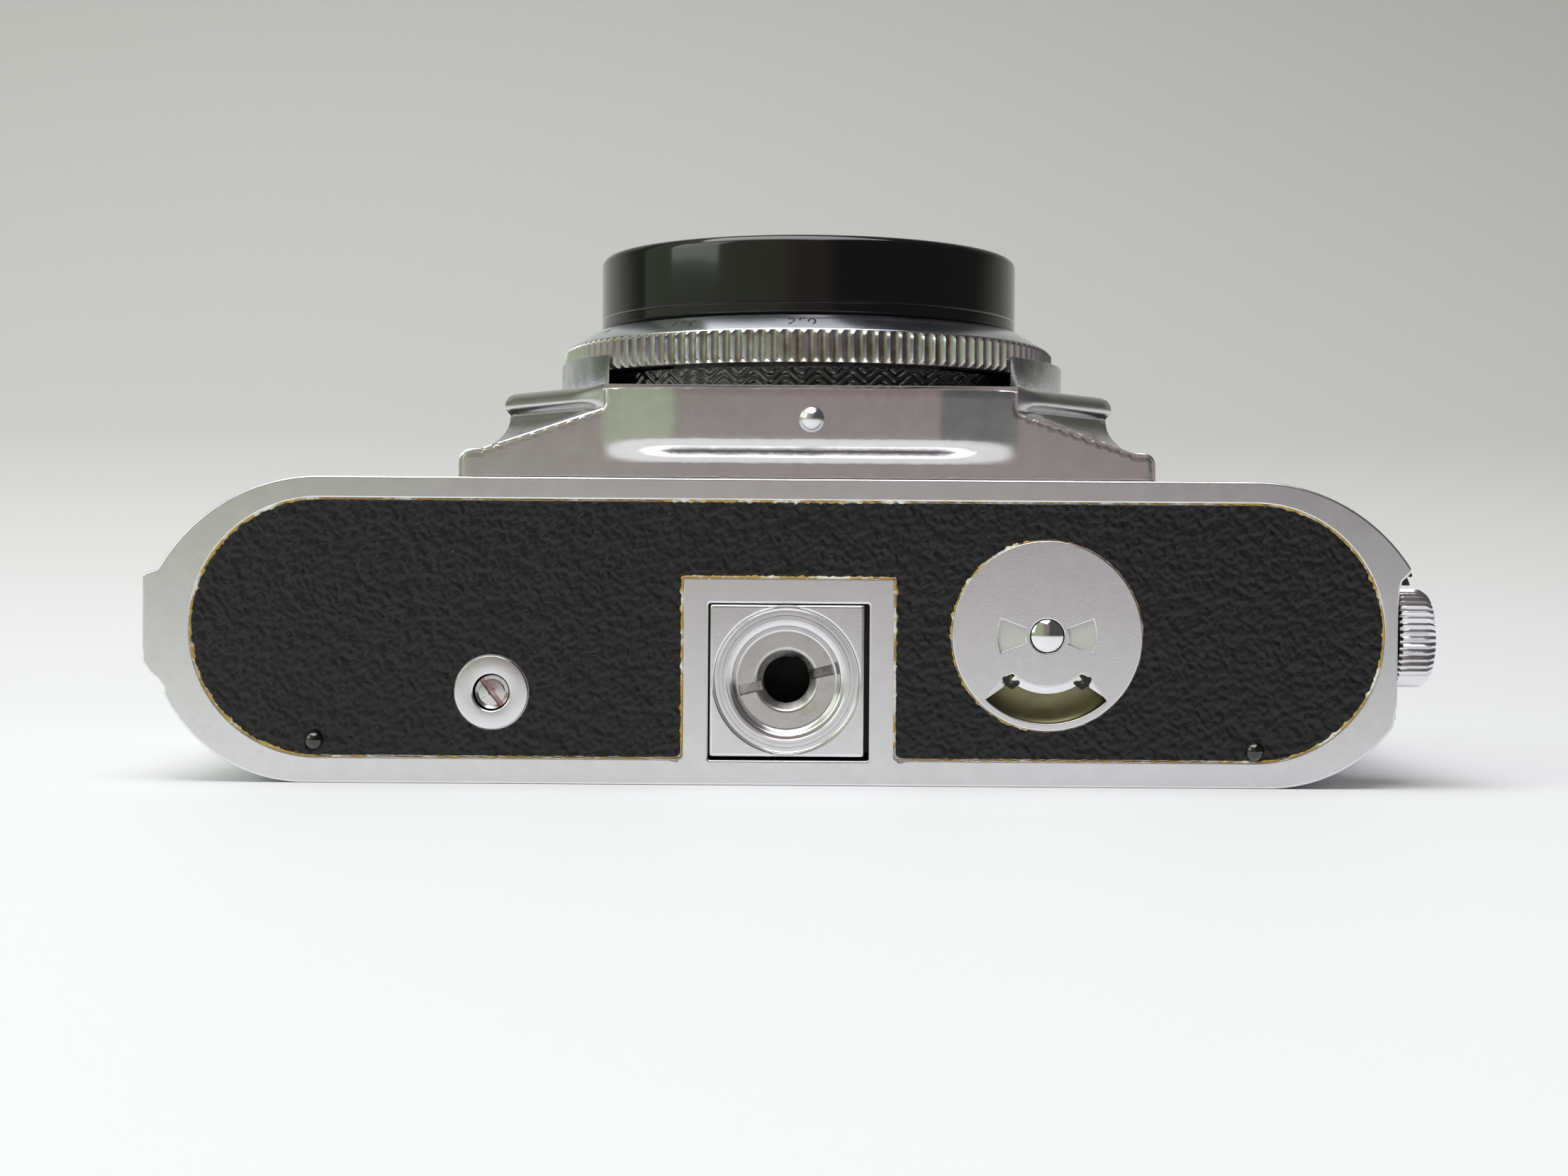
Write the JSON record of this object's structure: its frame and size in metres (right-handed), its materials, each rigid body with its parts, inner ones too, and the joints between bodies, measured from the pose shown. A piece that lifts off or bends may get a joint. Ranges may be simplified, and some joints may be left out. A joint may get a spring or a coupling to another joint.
{
  "type": "film camera",
  "caption": "Leaf-shutter 35 mm film camera with removable back and base, capped lens, fluted speed ring, tripod socket and film reminder dial.",
  "frame": {"origin": "middle of the overall box at the resting face under the back; the tripod axis is at x = 0", "axes": "+Z is the lens direction, away from the surface the camera lies on; -Y is the base with the tripod socket; +X is the end with the rewind knob"},
  "size_m": [0.1336, 0.0816, 0.0579],
  "materials": {
    "satin_chrome": "satin chrome plate",
    "polished_chrome": "bright polished chrome plate",
    "black_leather": "pebbled black leatherette",
    "black_lacquer": "glossy black lacquer",
    "cast_alloy": "as cast, matte",
    "blackened_alloy": "matte black paint",
    "steel": "turned and brushed",
    "brass": "machined",
    "coated_glass": "coated optical glass",
    "clear_glass": "polished",
    "silvered": "silvered",
    "dial_white": null,
    "dial_bronze": "olive bronze lacquer",
    "black_plastic": "moulded",
    "blade_steel": "blued, matte"
  },
  "bodies": {
    "camera_body": {"chassis_casting": "blackened_alloy", "deck_plate": "cast_alloy", "base_frame": "cast_alloy", "film_gate": "steel", "front_leather": "black_leather", "front_housing": "satin_chrome", "front_foot": "polished_chrome", "tripod_block": "satin_chrome", "tripod_bush": "steel", "knob_collar": "black_plastic", "top_cover": "satin_chrome", "accessory_shoe": "polished_chrome", "front_windows": "clear_glass", "eyepiece_glass": "clear_glass", "finder_block": "clear_glass", "rangefinder_mirror": "silvered", "strap_lugs": "polished_chrome", "shutter_housing": "black_lacquer", "shutter_bezel": "polished_chrome", "flash_socket": "polished_chrome"},
    "back_cover": {"back_shell": "satin_chrome", "base_plate": "satin_chrome", "base_leather": "black_leather", "back_leather": "black_leather", "rear_feet": "black_lacquer", "release_eyelet": "satin_chrome", "dial_bed": "dial_bronze", "dial_rivet": "polished_chrome", "pressure_plate": "blackened_alloy", "pressure_spring": "steel"},
    "dial": {"reminder_dial": "satin_chrome"},
    "release": {"release_pin": "steel"},
    "end_knob": {"rewind_knob": "polished_chrome", "knob_shaft": "steel"},
    "fork": {"rewind_fork": "steel"},
    "winder": {"winding_knob": "satin_chrome", "winding_gear": "brass"},
    "sprocket": {"film_sprocket": "steel", "sprocket_gear": "brass"},
    "spool": {"takeup_spool": "black_plastic"},
    "counter": {"counter_dial": "dial_white"},
    "button": {"shutter_button": "polished_chrome"},
    "speed": {"speed_ring": "satin_chrome", "speed_scale": "polished_chrome"},
    "aperture": {"aperture_ring": "satin_chrome"},
    "focus": {"focus_ring": "satin_chrome"},
    "barrel": {"lens_barrel": "polished_chrome", "lens_elements": "coated_glass"},
    "cap": {"lens_cap": "black_lacquer"},
    "sector": {"sector_ring": "brass"},
    "iris_1": {"iris_blade_1": "blade_steel"},
    "iris_2": {"iris_blade_2": "blade_steel"},
    "iris_3": {"iris_blade_3": "blade_steel"},
    "iris_4": {"iris_blade_4": "blade_steel"},
    "iris_5": {"iris_blade_5": "blade_steel"},
    "blade_1": {"shutter_blade_1": "blade_steel"},
    "blade_2": {"shutter_blade_2": "blade_steel"},
    "blade_3": {"shutter_blade_3": "blade_steel"}
  },
  "joints": [
    {"name": "back_slide", "type": "slide", "parent": "camera_body", "child": "back_cover", "axis": [0, -1, 0], "range_m": [0, 0.06]},
    {"name": "dial_turn", "type": "hinge", "parent": "back_cover", "child": "dial", "pos_m": [0.02645, -0.04, 0.0154], "axis": [0, -1, 0], "continuous": true},
    {"name": "rewind_release", "type": "slide", "parent": "camera_body", "child": "release", "axis": [0, 1, 0], "range_m": [0, 0.0012], "stiffness_N_per_m": 500},
    {"name": "knob_turn", "type": "hinge", "parent": "camera_body", "child": "end_knob", "pos_m": [0.064, -0.0325, 0.0153], "axis": [1, 0, 0], "continuous": true},
    {"name": "fork_turn", "type": "hinge", "parent": "camera_body", "child": "fork", "pos_m": [0.0466, -0.03, 0.0153], "axis": [0, 1, 0], "continuous": true},
    {"name": "winder_turn", "type": "hinge", "parent": "camera_body", "child": "winder", "pos_m": [-0.0466, 0.038, 0.0153], "axis": [0, 1, 0], "continuous": true},
    {"name": "sprocket_turn", "type": "hinge", "parent": "camera_body", "child": "sprocket", "pos_m": [-0.03, 0, 0.0093], "axis": [0, 1, 0], "continuous": true},
    {"name": "spool_turn", "type": "hinge", "parent": "camera_body", "child": "spool", "pos_m": [-0.0466, 0, 0.0153], "axis": [0, 1, 0], "continuous": true},
    {"name": "counter_turn", "type": "hinge", "parent": "camera_body", "child": "counter", "pos_m": [-0.03, 0.035, 0.0093], "axis": [0, 1, 0], "continuous": true},
    {"name": "shutter_press", "type": "slide", "parent": "camera_body", "child": "button", "axis": [0, -1, 0], "range_m": [0, 0.0022], "stiffness_N_per_m": 700},
    {"name": "speed_turn", "type": "hinge", "parent": "camera_body", "child": "speed", "pos_m": [0.0023, -0.004, 0.045], "axis": [0, 0, 1], "range_deg": [-100, 100]},
    {"name": "aperture_turn", "type": "hinge", "parent": "camera_body", "child": "aperture", "pos_m": [0.0023, -0.004, 0.05], "axis": [0, 0, 1], "range_deg": [0, 60]},
    {"name": "focus_turn", "type": "hinge", "parent": "camera_body", "child": "focus", "pos_m": [0.0023, -0.004, 0.052], "axis": [0, 0, 1], "range_deg": [0, 200]},
    {"name": "barrel_extend", "type": "slide", "parent": "camera_body", "child": "barrel", "axis": [0, 0, 1], "range_m": [0, 0.0022]},
    {"name": "cap_pull", "type": "slide", "parent": "barrel", "child": "cap", "axis": [0, 0, 1], "range_m": [0, 0.02]},
    {"name": "sector_turn", "type": "hinge", "parent": "camera_body", "child": "sector", "pos_m": [0.0023, -0.004, 0.039], "axis": [0, 0, 1], "range_deg": [0, 20]},
    {"name": "iris_1_turn", "type": "hinge", "parent": "barrel", "child": "iris_1", "pos_m": [0.0191, -0.004, 0.045], "axis": [0, 0, 1], "range_deg": [-1, 31]},
    {"name": "iris_2_turn", "type": "hinge", "parent": "barrel", "child": "iris_2", "pos_m": [0.00749, 0.01198, 0.045], "axis": [0, 0, 1], "range_deg": [-1, 31]},
    {"name": "iris_3_turn", "type": "hinge", "parent": "barrel", "child": "iris_3", "pos_m": [-0.01129, 0.00588, 0.045], "axis": [0, 0, 1], "range_deg": [-1, 31]},
    {"name": "iris_4_turn", "type": "hinge", "parent": "barrel", "child": "iris_4", "pos_m": [-0.01129, -0.01388, 0.045], "axis": [0, 0, 1], "range_deg": [-1, 31]},
    {"name": "iris_5_turn", "type": "hinge", "parent": "barrel", "child": "iris_5", "pos_m": [0.00749, -0.01998, 0.045], "axis": [0, 0, 1], "range_deg": [-1, 31]},
    {"name": "blade_1_turn", "type": "hinge", "parent": "camera_body", "child": "blade_1", "pos_m": [0.0228, -0.004, 0.038], "axis": [0, 0, 1], "range_deg": [-33, 1]},
    {"name": "blade_2_turn", "type": "hinge", "parent": "camera_body", "child": "blade_2", "pos_m": [-0.00795, 0.01375, 0.038], "axis": [0, 0, 1], "range_deg": [-33, 1]},
    {"name": "blade_3_turn", "type": "hinge", "parent": "camera_body", "child": "blade_3", "pos_m": [-0.00795, -0.02175, 0.038], "axis": [0, 0, 1], "range_deg": [-33, 1]}
  ],
  "couplings": [
    {"joint": "fork_turn", "follows": "knob_turn", "ratio": -1},
    {"joint": "sprocket_turn", "follows": "winder_turn", "ratio": -2},
    {"joint": "spool_turn", "follows": "winder_turn", "ratio": 1.5},
    {"joint": "counter_turn", "follows": "winder_turn", "ratio": 0.05},
    {"joint": "focus_turn", "follows": "barrel_extend", "rad_per_m": 1586.6},
    {"joint": "iris_1_turn", "follows": "aperture_turn", "ratio": 0.5},
    {"joint": "iris_2_turn", "follows": "aperture_turn", "ratio": 0.5},
    {"joint": "iris_3_turn", "follows": "aperture_turn", "ratio": 0.5},
    {"joint": "iris_4_turn", "follows": "aperture_turn", "ratio": 0.5},
    {"joint": "iris_5_turn", "follows": "aperture_turn", "ratio": 0.5},
    {"joint": "blade_1_turn", "follows": "sector_turn", "ratio": -1.6},
    {"joint": "blade_2_turn", "follows": "sector_turn", "ratio": -1.6},
    {"joint": "blade_3_turn", "follows": "sector_turn", "ratio": -1.6}
  ]
}
